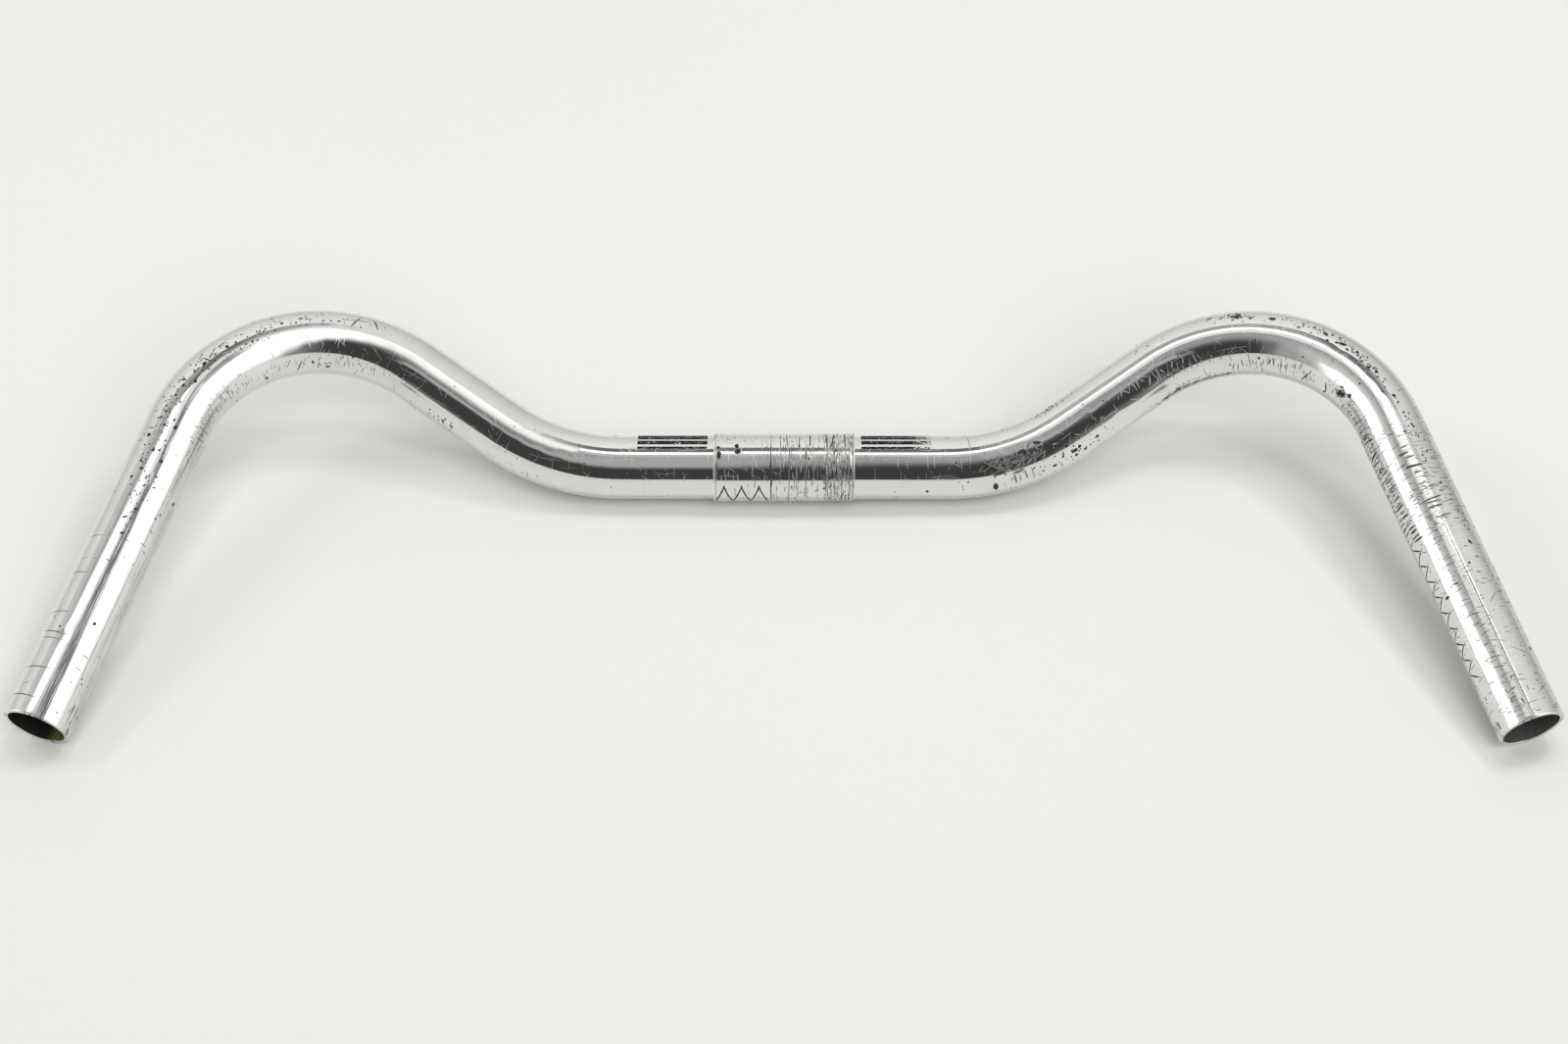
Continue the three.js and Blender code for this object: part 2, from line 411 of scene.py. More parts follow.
CLAMP_SPOTS = (
    (-24.2, 24, 0.9, 1.7, 0, 1), (-24.4, 10, 0.7, 0.7, 0, 1), (-17.3, 17, 1.3, 1.1, 0, 1),
    (-17.6, 7, 0.8, 1.1, 0, 1), (24.6, 52, 0.5, 1.8, 0, 1), (6.0, 92, 0.2, 1.2, 0, 0.7),
    (8.2, 96, 0.2, 1.4, 0, 0.7), (7.1, 92, 1.6, 0.18, 0, 0.6), (12.0, 88, 0.18, 1.0, 0, 0.7),
    (12.0, 88, 1.2, 0.16, 0, 0.6), (2.0, 80, 2.0, 0.15, 10, 0.5), (-21.0, -8, 2.4, 0.14, 4, 0.6),
    (-20.5, -2, 2.0, 0.12, -6, 0.5), (-12.0, -5, 0.12, 1.6, 12, 0.5),
    (-20.0, 60, 3.0, 0.14, -4, 0.6), (-22.0, 52, 0.14, 1.6, 0, 0.6),
)


# ---------------------------------------------------------------- tube


def dings(seed, count, along_range, angle_range):
    """Shallow dents at random places: (along, angle, radius, depth)."""
    draw = random.Random(seed)
    rows = []
    for _ in range(count):
        along = draw.uniform(*along_range)
        angle = math.radians(draw.uniform(*angle_range))
        rows.append((along, angle, draw.uniform(1.6, 3.2), draw.uniform(0.05, 0.14)))
    return rows


# Where the dents are: seed, how many, first and last mm, and first and last degrees
DING_ZONES = (
    (3, 7, (150, 260), (-80, 10)),
    (4, 7, (-270, -140), (-80, 10)),
    (5, 4, (90, 150), (20, 100)),
    (6, 5, (290, 370), (0, 120)),
    (7, 4, (-370, -290), (-20, 100)),
)
DINGS = [ding for zone in DING_ZONES for ding in dings(*zone)]


def surface_offset(along, angles, bent):
    """How far the tube's outside stands off its nominal radius, round one section."""
    oval = BEND_OVAL * bent * np.cos(2 * angles)
    ripple = BEND_RIPPLE * bent * math.sin(along * 0.75) * np.cos(angles - 0.6)
    offset = oval + ripple
    for at, angle, radius, depth in DINGS:
        if abs(at - along) < 3 * radius:
            turn = np.angle(np.exp(1j * (angles - angle)))
            far = ((at - along) ** 2 + (turn * TUBE_RADIUS) ** 2) / radius**2
            offset = offset - depth * np.exp(-far)
    return offset


def rounded_edge(outer, inner, break_size, steps=4):
    """(radius, distance in from the end) from the outside over the cut end to the inside."""
    rows = []
    for i in range(steps + 1):
        turn = math.pi / 2 * i / steps
        rows.append((outer - break_size * (1 - math.cos(turn)), break_size * (1 - math.sin(turn))))
    for i in range(steps + 1):
        turn = math.pi / 2 * (1 - i / steps)
        rows.append((inner + break_size * (1 - math.cos(turn)), break_size * (1 - math.sin(turn))))
    return rows


def tube_piece(line, outside, bore):
    """The bent tube as one closed mesh: outside, cut ends with broken edges, and the bore."""
    angles = section_angles(TUBE_SIDES)
    rim = rounded_edge(TUBE_RADIUS, BORE_RADIUS, RIM_BREAK)
    last = len(line.points) - 1
    rings = []

    def add_ring(station, radii, inset=0.0):
        outward = 1 if station > last / 2 else -1
        centre = line.points[station] - line.tangents[station] * inset * outward
        along = line.along[station] - inset * outward
        cosines, sines = np.cos(angles), np.sin(angles)
        spokes = cosines[:, None] * line.up[station] + sines[:, None] * line.side[station]
        radii = np.broadcast_to(radii, angles.shape)
        flat = np.column_stack((np.full(TUBE_SIDES, along), sines * radii, cosines * radii))
        rings.append((centre + spokes * radii[:, None], flat))

    # Each mouth's outer edge is a little uneven all round.
    draw = random.Random(11)
    uneven = [
        sum(draw.uniform(-0.03, 0.03) * np.sin(k * angles + draw.uniform(0, 6)) for k in (2, 3, 5))
        for _ in range(2)
    ]
    for station in range(1, last):
        offset = surface_offset(line.along[station], angles, line.bent[station])
        add_ring(station, TUBE_RADIUS + offset)
    outside_rings = len(rings)
    for radius, inset in rim:
        add_ring(last, radius + uneven[0] * (radius > MID_WALL), inset)
    for station in range(last - 1, 0, -2):
        add_ring(station, BORE_RADIUS)
    inside_end = len(rings)
    for radius, inset in reversed(rim):
        add_ring(0, radius + uneven[1] * (radius > MID_WALL), inset)
    vertices = np.vstack([points for points, _ in rings])
    unbent = np.vstack([flat for _, flat in rings])
    faces = ring_grid_faces(len(rings), TUBE_SIDES, closed=True)
    # The bore's look reaches one row of faces out over each rim's inner edge.
    bore_from = outside_rings + len(rim) - 2
    ring_of_face = np.arange(len(faces)) // TUBE_SIDES
    in_bore = (ring_of_face >= bore_from) & (ring_of_face <= inside_end)
    tube = new_piece("tube", vertices, faces, unbent, [outside, bore], in_bore.astype(int))
    angle = np.arctan2(unbent[:, 1], unbent[:, 2])
    rubbed = in_places(RUBBED_PLACES, unbent[:, 0], angle)
    pitted = in_places(PITTED_PLACES, unbent[:, 0], angle)
    store(tube.data, "wear", "POINT", np.column_stack((rubbed, pitted, rubbed * 0)))
    store_marks(tube, tube_marks())
    return tube


# ---------------------------------------------------------------- sleeve


def sleeve_profile():
    """(along, radius) over the sleeve's outside: a small lip at each edge and clamp scratches."""
    draw = random.Random(21)
    band_scratches = [
        (draw.uniform(15, 25.4), draw.uniform(0.12, 0.3), draw.uniform(0.02, 0.06))
        for _ in range(26)
    ]
    middle_scratches = [(draw.uniform(-6, 12), 0.16, draw.uniform(0.01, 0.04)) for _ in range(9)]
    lip_grooves = [(side * (SLEEVE_HALF - 1.1), 0.25, 0.05) for side in (-1, 1)]
    along = np.arange(-SLEEVE_HALF, SLEEVE_HALF + SLEEVE_STEP / 2, SLEEVE_STEP)
    along = along * (SLEEVE_HALF / along[-1])
    radius = np.full(along.shape, SLEEVE_RADIUS)
    for at, width, depth in band_scratches + middle_scratches + lip_grooves:
        radius = radius - depth * np.exp(-(((along - at) / width) ** 2))
    return along, radius


def sleeve_piece(material):
    """The clamp sleeve as one closed ring around the tube's straight middle."""
    angles = section_angles(SLEEVE_SIDES)
    along, radius = sleeve_profile()
    rows = [(-SLEEVE_HALF, SLEEVE_BORE), (-SLEEVE_HALF, SLEEVE_RADIUS - SLEEVE_EDGE)]
    for at, r in zip(along, radius):
        close = max(0.0, SLEEVE_EDGE - (SLEEVE_HALF - abs(at)))
        rounded = SLEEVE_EDGE - math.sqrt(max(0.0, SLEEVE_EDGE**2 - close**2))
        rows.append((at, r - rounded))
    rows += [(SLEEVE_HALF, SLEEVE_RADIUS - SLEEVE_EDGE), (SLEEVE_HALF, SLEEVE_BORE)]
    rows = [row for i, row in enumerate(rows) if i == 0 or row != rows[i - 1]]
    vertices = []
    for at, r in rows:
        ring = np.column_stack((np.full(SLEEVE_SIDES, at), -np.sin(angles) * r, np.cos(angles) * r))
        vertices.append(ring)
    vertices = np.vstack(vertices)
    unbent = vertices * (1, -1, 1)
    faces = ring_grid_faces(len(rows), SLEEVE_SIDES, closed=True)
    sleeve = new_piece("sleeve", vertices, faces, unbent, [material])
    store_marks(sleeve, CLAMP_RINGS + CLAMP_SPOTS)
    return sleeve


# ---------------------------------------------------------------- ink stripes

# The stripes' middle leans this far forward of the tube's top. Each runs from one mm to another
# round the tube, and its film's underside and top stand off the tube.
STRIPES_LEAN = math.radians(13.5)
STRIPES = ((-4.8, -0.6), (0.6, 2.6), (3.8, 4.8))
FILM = (0.03, 0.06)
STRIPE_COLUMNS = 40
STRIPE_ROWS = 9


def stripes_piece(name, node, material):
    """Plain stripes of ink along the tube's top, each a thin closed film bent round the tube."""
    low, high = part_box(node)
    columns = np.linspace(low[0] / MM, high[0] / MM, STRIPE_COLUMNS)
    vertices = []
    unbent = []
    faces = []
    for lower, upper in STRIPES:
        rows = np.linspace(lower, upper, STRIPE_ROWS) / TUBE_RADIUS - STRIPES_LEAN
        outline = [(a, FILM[1]) for a in rows] + [(a, FILM[0]) for a in rows[::-1]]
        first = len(vertices)
        for x in columns:
            for angle, film in outline:
                r = TUBE_RADIUS + film
                vertices.append((x, -math.sin(angle) * r, math.cos(angle) * r))
                unbent.append((x, math.sin(angle) * r, math.cos(angle) * r))
        size = len(outline)
        for face in ring_grid_faces(len(columns), size, closed=False):
            faces.append(tuple(first + i for i in face))
        faces.append(tuple(first + i for i in reversed(range(size))))
        last = first + (len(columns) - 1) * size
        faces.append(tuple(last + i for i in range(size)))
    return new_piece(name, vertices, faces, unbent, [material])


# ---------------------------------------------------------------- material nodes

ALUMINIUM = (0.765, 0.77, 0.76, 1.0)
OXIDE_AND_PAINTED_REFLECTION_GREY = (0.42, 0.42, 0.41, 1.0)
DIRT_AND_PAINTED_REFLECTION = (0.022, 0.021, 0.02, 1.0)
BORE_GREYS = ((0.03, 0.03, 0.03, 1.0), (0.19, 0.19, 0.185, 1.0))
BORE_OLIVES = ((0.06, 0.06, 0.02, 1.0), (0.3, 0.28, 0.1, 1.0))
BORE_PAINTED_SHADE = (0.02, 0.02, 0.018, 1.0)
INK = (0.005, 0.005, 0.006, 1.0)

# How deep a bump of height 1 is in metres, how strong the metal's bumps are, and the specular level
# of the dirt on it
BUMP_DEPTH = 0.1 * MM
METAL_BUMP = 0.6
DIRT_SPECULAR = 0.2

# How many cells one seed shifts a pattern of scratches or of pits
STROKE_SHIFT = (3.13, 7.71)
PIT_SHIFT = (1.7, 4.3)


class Nodes:
    """Short calls for building a node tree. Numbers and sockets can be mixed as inputs."""

    def __init__(self, tree):
        self.tree = tree
        tree.nodes.clear()

    def put(self, socket, value):
        if isinstance(value, bpy.types.NodeSocket):
            self.tree.links.new(value, socket)
        else:
            socket.default_value = value

    def node(self, kind, inputs=(), **settings):
        node = self.tree.nodes.new(kind)
        for name, value in settings.items():
            setattr(node, name, value)
        for name, value in dict(inputs).items():
            self.put(node.inputs[name], value)
        return node

    def math(self, operation, a, b=0.0, c=0.0, clamp=False):
        node = self.node("ShaderNodeMath", {0: a, 1: b, 2: c}, operation=operation, use_clamp=clamp)
        return node.outputs[0]

    def add(self, *values):
        total = values[0]
        for value in values[1:]:
            total = self.math("ADD", total, value)
        return total

    def times(self, *values):
        total = values[0]
        for value in values[1:]:
            total = self.math("MULTIPLY", total, value)
        return total

    def step(self, value, low, high, to_low=0.0, to_high=1.0):
        """A smooth step of value from low to high."""
        before = {"Value": value, "From Min": low, "From Max": high}
        after = {"To Min": to_low, "To Max": to_high}
        node = self.node(
            "ShaderNodeMapRange", {**before, **after}, interpolation_type="SMOOTHSTEP"
        )
        return node.outputs["Result"]

    def window(self, value, low, high, soft):
        """1 between low and high, falling to 0 over soft outside them."""
        rise = self.step(value, low - soft, low)
        fall = self.step(value, high, high + soft)
        return self.times(rise, self.math("SUBTRACT", 1.0, fall))

    def noise(self, vector, scale=1.0, detail=2.0, roughness=0.5):
        node = self.node(
            "ShaderNodeTexNoise",
            {"Vector": vector, "Scale": scale, "Detail": detail, "Roughness": roughness},
        )
        return node.outputs["Fac"]

    def stretched(self, vector, scale, turn=0.0, offset=(0.0, 0.0, 0.0)):
        """The vector turned about Z, shifted and scaled on each axis."""
        turned = self.node(
            "ShaderNodeVectorRotate", {"Vector": vector, "Angle": turn}, rotation_type="Z_AXIS"
        )
        node = self.node(
            "ShaderNodeVectorMath",
            {0: turned.outputs["Vector"], 1: scale, 2: offset},
            operation="MULTIPLY_ADD",
        )
        return node.outputs["Vector"]

    def mix(self, factor, a, b):
        # The colour sockets of this node are inputs 6 and 7 and output 2.
        node = self.node("ShaderNodeMix", data_type="RGBA")
        self.put(node.inputs[0], factor)
        self.put(node.inputs[6], a)
        self.put(node.inputs[7], b)
        return node.outputs[2]

    def largest(self, *values):
        top = values[0]
        for value in values[1:]:
            top = self.math("MAXIMUM", top, value)
        return top


class BarSurface(Nodes):
    """Nodes for a surface of the bar, with its place on the straightened bar in millimetres."""

    def __init__(self, name):
        material = bpy.data.materials.new(name)
        material.use_nodes = True
        super().__init__(material.node_tree)
        self.material = material
        place = self.node("ShaderNodeAttribute", attribute_name="unbent", attribute_type="GEOMETRY")
        self.unbent = place.outputs["Vector"]
        split = self.node("ShaderNodeSeparateXYZ", {0: self.unbent})
        self.along = split.outputs["X"]
        self.angle = self.math("ARCTAN2", split.outputs["Y"], split.outputs["Z"])
        arc = self.math("MULTIPLY", self.angle, TUBE_RADIUS)
        flat = self.node("ShaderNodeCombineXYZ", {"X": self.along, "Y": arc})
        self.flat = flat.outputs["Vector"]
        self.ragged = self.math("SUBTRACT", self.noise(self.unbent, 1.6, 3.0, 0.65), 0.5)

    def marks(self, ragged=0.9, soft=0.25):
        """The single marks stored with the mesh, with ragged edges."""
        mark = self.node("ShaderNodeAttribute", attribute_name="mark", attribute_type="GEOMETRY")
        split = self.node("ShaderNodeSeparateXYZ", {0: mark.outputs["Vector"]})
        x, y = split.outputs["X"], split.outputs["Y"]
        far = self.math("SQRT", self.add(self.times(x, x), self.times(y, y)))
        far = self.math("MULTIPLY_ADD", self.ragged, ragged, far)
        return self.times(self.step(far, 1 - soft, 1 + soft, 1.0, 0.0), split.outputs["Z"])

    def strokes(self, turn, pitch, length, width, amount, seed):
        """Straight thin scratches at about one angle to the tube, one at most in each grid cell.
        The turn is in degrees, the pitch, length and width in mm, and the amount is the share of
        cells that hold one. Each row is shifted at random, and a scratch leans a little in its
        cell, lies off its middle and tapers to its tips."""
        shift = (seed * STROKE_SHIFT[0], seed * STROKE_SHIFT[1], 0.0)
        cell_scale = (1 / length, 1 / pitch, 1.0)
        place = self.stretched(self.flat, cell_scale, math.radians(turn), shift)
        split = self.node("ShaderNodeSeparateXYZ", {0: place})
        across = split.outputs["Y"]
        row = self.math("FLOOR", across)
        stagger = self.node("ShaderNodeTexWhiteNoise", {"W": row}, noise_dimensions="1D")
        onward = self.math("MULTIPLY_ADD", stagger.outputs["Value"], 5.0, split.outputs["X"])
        column = self.math("FLOOR", onward)
        cell = self.node("ShaderNodeCombineXYZ", {"X": column, "Y": row, "Z": float(seed)})
        random_of_cell = self.node("ShaderNodeTexWhiteNoise", {"Vector": cell.outputs["Vector"]})
        draw = self.node("ShaderNodeSeparateColor", {0: random_of_cell.outputs["Color"]})
        lengthwise = self.math("SUBTRACT", self.math("FRACT", onward), 0.5)
        lean = self.math("MULTIPLY_ADD", draw.outputs["Red"], 0.5, -0.25)
        middle = self.math("MULTIPLY_ADD", draw.outputs["Green"], 0.5, 0.25)
        middle = self.math("MULTIPLY_ADD", lean, lengthwise, middle)
        off = self.math("ABSOLUTE", self.math("SUBTRACT", self.math("FRACT", across), middle))
        half_length = self.math("MULTIPLY_ADD", draw.outputs["Blue"], 0.35, 0.13)
        tip = self.math("DIVIDE", self.math("ABSOLUTE", lengthwise), half_length)
        taper = self.step(tip, 0.5, 1.0, 0.5 * width / pitch, 0.0)
        line = self.math("LESS_THAN", off, taper)
        chosen = self.math("LESS_THAN", random_of_cell.outputs["Value"], amount)
        return self.times(line, chosen)

    def pits(self, size, amount, seed):
        """Small ragged pits at random places. The size is about one's width in mm, and the amount
        is the share of cells that hold one."""
        shift = (seed * PIT_SHIFT[0], seed * PIT_SHIFT[1], 0.0)
        place = self.stretched(self.flat, (0.3 / size,) * 3, 0.3, shift)
        cells = self.node(
            "ShaderNodeTexVoronoi", {"Vector": place, "Scale": 1.0}, voronoi_dimensions="2D"
        )
        draw = self.node("ShaderNodeSeparateColor", {0: cells.outputs["Color"]})
        chosen = self.math("LESS_THAN", draw.outputs["Red"], amount)
        radius = self.math("MULTIPLY_ADD", draw.outputs["Green"], 0.15, 0.07)
        far = self.math("MULTIPLY_ADD", self.ragged, 0.35, cells.outputs["Distance"])
        return self.times(chosen, self.math("LESS_THAN", far, radius))

    def finish(self, color, metallic, roughness, height, bump, specular=0.5):
        """The shader and the output. The specular level is one number for the whole surface."""
        shader = self.node("ShaderNodeBsdfPrincipled")
        self.put(shader.inputs["Base Color"], color)
        self.put(shader.inputs["Metallic"], metallic)
        self.put(shader.inputs["Roughness"], roughness)
        self.put(shader.inputs["Specular IOR Level"], specular)
        bumped = self.node(
            "ShaderNodeBump", {"Height": height, "Strength": bump, "Distance": BUMP_DEPTH}
        )
        self.put(shader.inputs["Normal"], bumped.outputs["Normal"])
        output = self.node("ShaderNodeOutputMaterial", {"Surface": shader.outputs["BSDF"]})
        output.is_active_output = True
        return self.material

    def metal(self, dark, light, dulling, grain, shine):
        """Polished aluminium with dirt in its dark marks and bright raw metal in its light ones. On
        the tube some dark marks and some of the dulling are painted darker reflection. The shine is
        the roughness where nothing has worn it."""
        color = self.mix(dulling, ALUMINIUM, OXIDE_AND_PAINTED_REFLECTION_GREY)
        color = self.mix(dark, color, DIRT_AND_PAINTED_REFLECTION)
        rough = self.add(
            shine, self.times(dulling, 0.35), self.times(light, 0.45), self.times(dark, 0.3)
        )
        height = self.add(grain, self.times(light, -0.12), self.times(dark, -0.1))
        metallic = self.math("SUBTRACT", 1.0, self.times(dark, 0.7), clamp=True)
        return self.finish(color, metallic, rough, height, METAL_BUMP, DIRT_SPECULAR)


# ---------------------------------------------------------------- materials

# Where the grips' own wear sets in, and where the outer side's painted darker reflection starts
# past the right shoulder, in mm
RIGHT_GRIP = (244, 264)
LEFT_GRIP = (-262, -240)
RIGHT_SHOULDER = (190, 240)

# The dark strip on the left grip, a painted reflection of the studio's dark line that the grip
# mirrors:
# where it fades out, its angle, and its half width in radians at the mouth and at the shoulder
STRIP_FADE = (-225, -205)
STRIP_ANGLE = math.radians(21)
STRIP_ENDS = (-390, -240)
STRIP_HALF_WIDTHS = (0.14, 0.07)


def tube_material():
    """Fine scratches all over, stored marks, rubbed and pitted places, duller grips, and painted
    darker reflection on the left grip and past the right shoulder.
    """
    s = BarSurface("worn_polished_aluminium")
    right_grip = s.step(s.along, *RIGHT_GRIP)
    left_grip = s.step(s.along, *LEFT_GRIP, 1.0, 0.0)
    cloud = s.noise(s.unbent, 0.07, 3.0)
    clumps = s.step(s.noise(s.unbent, 0.22, 2.0), 0.4, 0.62)
    wear = s.node("ShaderNodeAttribute", attribute_name="wear", attribute_type="GEOMETRY")
    wear = s.node("ShaderNodeSeparateXYZ", {0: wear.outputs["Vector"]})
    rubbed, pitted = wear.outputs["X"], wear.outputs["Y"]
    busy = s.add(s.times(rubbed, 0.3), s.times(right_grip, 0.12), 0.01)
    marks = s.marks()
    dark = s.largest(
        s.times(s.strokes(84, 0.75, 4.0, 0.32, s.times(busy, clumps), 1), 0.9),
        s.times(s.strokes(97, 0.9, 6.0, 0.26, s.times(busy, 0.8), 2), 0.8),
        s.times(s.strokes(68, 1.0, 3.0, 0.28, s.times(busy, 0.5), 3), 0.85),
        s.times(s.strokes(12, 1.2, 7.0, 0.12, 0.02, 4), 0.6),
        s.pits(1.0, s.add(s.times(pitted, 0.55), 0.012), 5),
        s.pits(0.55, s.add(s.times(pitted, 0.5), s.times(clumps, 0.03)), 6),
        marks,
    )
    light = s.largest(
        s.times(marks, -1.0),
        s.strokes(-38, 1.6, 7.0, 0.1, 0.16, 7),
        s.strokes(58, 1.5, 6.0, 0.1, 0.16, 8),
        s.strokes(4, 0.8, 16.0, 0.09, s.add(s.times(left_grip, 0.4), 0.1), 9),
        s.times(s.strokes(90, 0.5, 7.0, 0.12, s.add(s.times(right_grip, 0.35), 0.06), 10), 0.8),
    )
    lengthwise = s.noise(s.stretched(s.unbent, (0.03, 1.6, 1.6)), detail=3.0)
    brushed = s.noise(s.stretched(s.unbent, (0.06, 2.4, 2.4)), detail=3.0, roughness=0.6)
    crosswise = s.noise(s.stretched(s.flat, (1.7, 0.13, 1.0)), detail=3.0, roughness=0.65)
    grain = s.add(
        s.times(lengthwise, 0.02),
        s.times(brushed, left_grip, 0.09),
        s.times(crosswise, right_grip, 0.22),
    )
    # The strip on the left grip is a painted reflection: the studio's dark line, drawn as dark
    # streaks and a grey band.
    strip_width = s.step(s.along, *STRIP_ENDS, *STRIP_HALF_WIDTHS)
    strip_off = s.math("ABSOLUTE", s.math("SUBTRACT", s.angle, STRIP_ANGLE))
    strip_off = s.math("SUBTRACT", strip_off, strip_width)
    strip = s.step(strip_off, -0.04, 0.05, 1.0, 0.0)
    strip = s.times(strip, s.step(s.along, *STRIP_FADE, 1.0, 0.0))
    dark = s.largest(dark, s.times(strip, s.step(brushed, 0.32, 0.56), 0.8))
    # Past the right shoulder the outer side is greyed as a painted darker reflection.
    past_shoulder = s.step(s.along, *RIGHT_SHOULDER)
    outer_side = s.step(s.angle, -0.65, -0.25, 1.0, 0.0)
    inner_side = s.step(s.angle, 1.0, 1.35)
    dulling = s.add(
        s.times(s.step(cloud, 0.45, 0.75), 0.12),
        s.times(right_grip, s.step(crosswise, 0.4, 0.75), 0.3),
        s.times(past_shoulder, outer_side, 0.4),
        s.times(left_grip, s.step(brushed, 0.5, 0.8), 0.25),
        # Left grip's inner side: the streaks follow the brushing, and their grey is a painted
        # reflection of the floor in the bar's shadow.
        s.times(left_grip, inner_side, s.step(brushed, 0.36, 0.62), 0.7),
        # The strip's grey band is painted reflection too.
        s.times(strip, 0.5),
        s.times(rubbed, 0.12),
    )
    return s.metal(dark, light, dulling, grain, shine=0.055)


# The zigzag scratched on the sleeve: mm along, and degrees round at its tops and feet
TOOTH_PITCH = 6.5
TEETH_START = -25.6
TEETH_END = -6.0
TEETH_TOP = 80
TEETH_FOOT = 122

# The parts of the sleeve a clamp has rubbed, heavily and lightly: first and last mm, and softness
CLAMP_BAND = (14.9, 25.4, 0.8)
CLAMP_MIDDLE = (-6.0, 12.5, 1.5)


def sleeve_material():
    """Rings of scratches where clamps sat, a zigzag, stored marks and thin lines at the edges."""
    s = BarSurface("clamped_aluminium")
    band = s.window(s.along, *CLAMP_BAND)
    middle = s.window(s.along, *CLAMP_MIDDLE)
    swing = s.math("PINGPONG", s.math("SUBTRACT", s.along, TEETH_START), TOOTH_PITCH / 2)
    slope = math.radians(TEETH_TOP - TEETH_FOOT) / (TOOTH_PITCH / 2)
    crest = s.math("MULTIPLY_ADD", swing, slope, math.radians(TEETH_FOOT))
    wander = s.math("MULTIPLY_ADD", s.ragged, 0.12, s.math("SUBTRACT", s.angle, crest))
    teeth = s.step(s.math("ABSOLUTE", wander), 0.045, 0.1, 1.0, 0.0)
    teeth = s.times(teeth, s.window(s.along, TEETH_START, TEETH_END, 0.1))
    from_middle = s.math("ABSOLUTE", s.along)
    edge = s.step(from_middle, SLEEVE_HALF - 0.9, SLEEVE_HALF - 0.6)
    thin_line = s.window(from_middle, SLEEVE_HALF - 0.95, SLEEVE_HALF - 0.7, 0.1)
    busy = s.add(s.times(band, 0.5), s.times(middle, 0.16), 0.05)
    marks = s.marks(ragged=1.2)
    dark = s.largest(
        s.times(s.strokes(90, 0.6, 4.0, 0.26, busy, 21), 0.85),
        s.times(s.strokes(86, 0.8, 7.0, 0.26, s.times(busy, 0.8), 22), 0.9),
        s.times(s.strokes(94, 0.7, 3.0, 0.22, s.add(s.times(band, 0.4), 0.08), 23), 0.8),
        s.times(s.strokes(8, 1.4, 6.0, 0.1, 0.05, 24), 0.5),
        marks,
        teeth,
        s.times(thin_line, 0.5),
        s.pits(0.6, s.add(s.times(band, 0.25), 0.03), 25),
    )
    light = s.largest(
        s.times(marks, -1.0),
        s.strokes(90, 0.45, 6.0, 0.2, s.add(s.times(band, 0.5), 0.12), 26),
        s.strokes(-30, 1.4, 5.0, 0.09, 0.2, 27),
        s.times(edge, 0.5),
    )
    crosswise = s.noise(s.stretched(s.flat, (2.2, 0.1, 1.0)), detail=3.0, roughness=0.6)
    grain = s.times(crosswise, s.add(s.times(band, 0.4), 0.08))
    dulling = s.add(0.03, s.times(band, s.step(crosswise, 0.35, 0.7), 0.4))
    return s.metal(dark, light, dulling, grain, shine=0.08)


def bore_material():
    """Dull unpolished metal, painted near black as shade behind the left mouth but for an olive
    stain.
    """
    s = BarSurface("dull_bore")
    grain = s.noise(s.stretched(s.unbent, (0.3, 1.2, 1.2)), detail=5.0, roughness=0.65)
    left = s.step(s.along, -300, 300, 1.0, 0.0)
    # Towards the left mouth the bore is painted near black as shade.
    grey = s.mix(left, s.mix(grain, *BORE_GREYS), BORE_PAINTED_SHADE)
    stained = s.times(left, s.window(s.angle, 1.3, 2.7, 0.4))
    color = s.mix(stained, grey, s.mix(grain, *BORE_OLIVES))
    rough = s.step(grain, 0.2, 0.8, 0.4, 0.7)
    return s.finish(color, metallic=0.6, roughness=rough, height=grain, bump=0.6)


def ink_material():
    """Black ink with specks worn through to the metal, most at the right stripes' outer end."""
    s = BarSurface("worn_black_ink")
    speckle = s.noise(s.unbent, 1.4, 4.0, 0.6)
    rubbed = s.noise(s.unbent, 0.35, 3.0)
    fading = s.step(s.along, 44, 56, 0.0, 0.16)
    in_specks = s.step(s.add(speckle, fading), 0.58, 0.64)
    worn = s.times(in_specks, s.step(s.add(rubbed, fading), 0.4, 0.55))
    color = s.mix(worn, INK, ALUMINIUM)
    rough = s.add(0.5, s.times(worn, -0.35))
    height = s.times(worn, -0.3)
    return s.finish(
        color, metallic=worn, roughness=rough, height=height, bump=0.5, specular=0.15
    )


# ---------------------------------------------------------------- studio

# The floor's half width in metres, and the two tints its faint clouds run between
FLOOR_HALF = 20.0
FLOOR_TINTS = ((0.625, 0.63, 0.608, 1.0), (0.64, 0.645, 0.625, 1.0))

# Panels of the studio, as a reflection finds them by its direction: lowest and highest x and the
# softness of those edges, then the same for y. Later ones lie over earlier ones.
RIGHT_ROOF = (0.1, 2.0, 0.06, -0.02, 0.24, 0.03)
ROOF_SLOT = (-0.6, 0.2, 0.12, 0.21, 0.42, 0.03)
LEFT_LAMP = (-2.0, -0.84, 0.1, -0.42, 0.15, 0.1)
LEFT_ROOF = (-0.4, -0.2, 0.06, -0.12, 0.05, 0.05)
ROOF_LAMP = (-0.37, 0.05, 0.03, 0.06, 0.15, 0.04)
NEAR_ROOF = (-0.17, 0.04, 0.03, -0.1, 0.02, 0.03)

# What dull surfaces and the camera get from the world, and its tint
EVEN_LIGHT = 0.55
BACKDROP_LIGHT = 0.85
STUDIO_TINT = (0.99, 1.0, 0.975, 1.0)


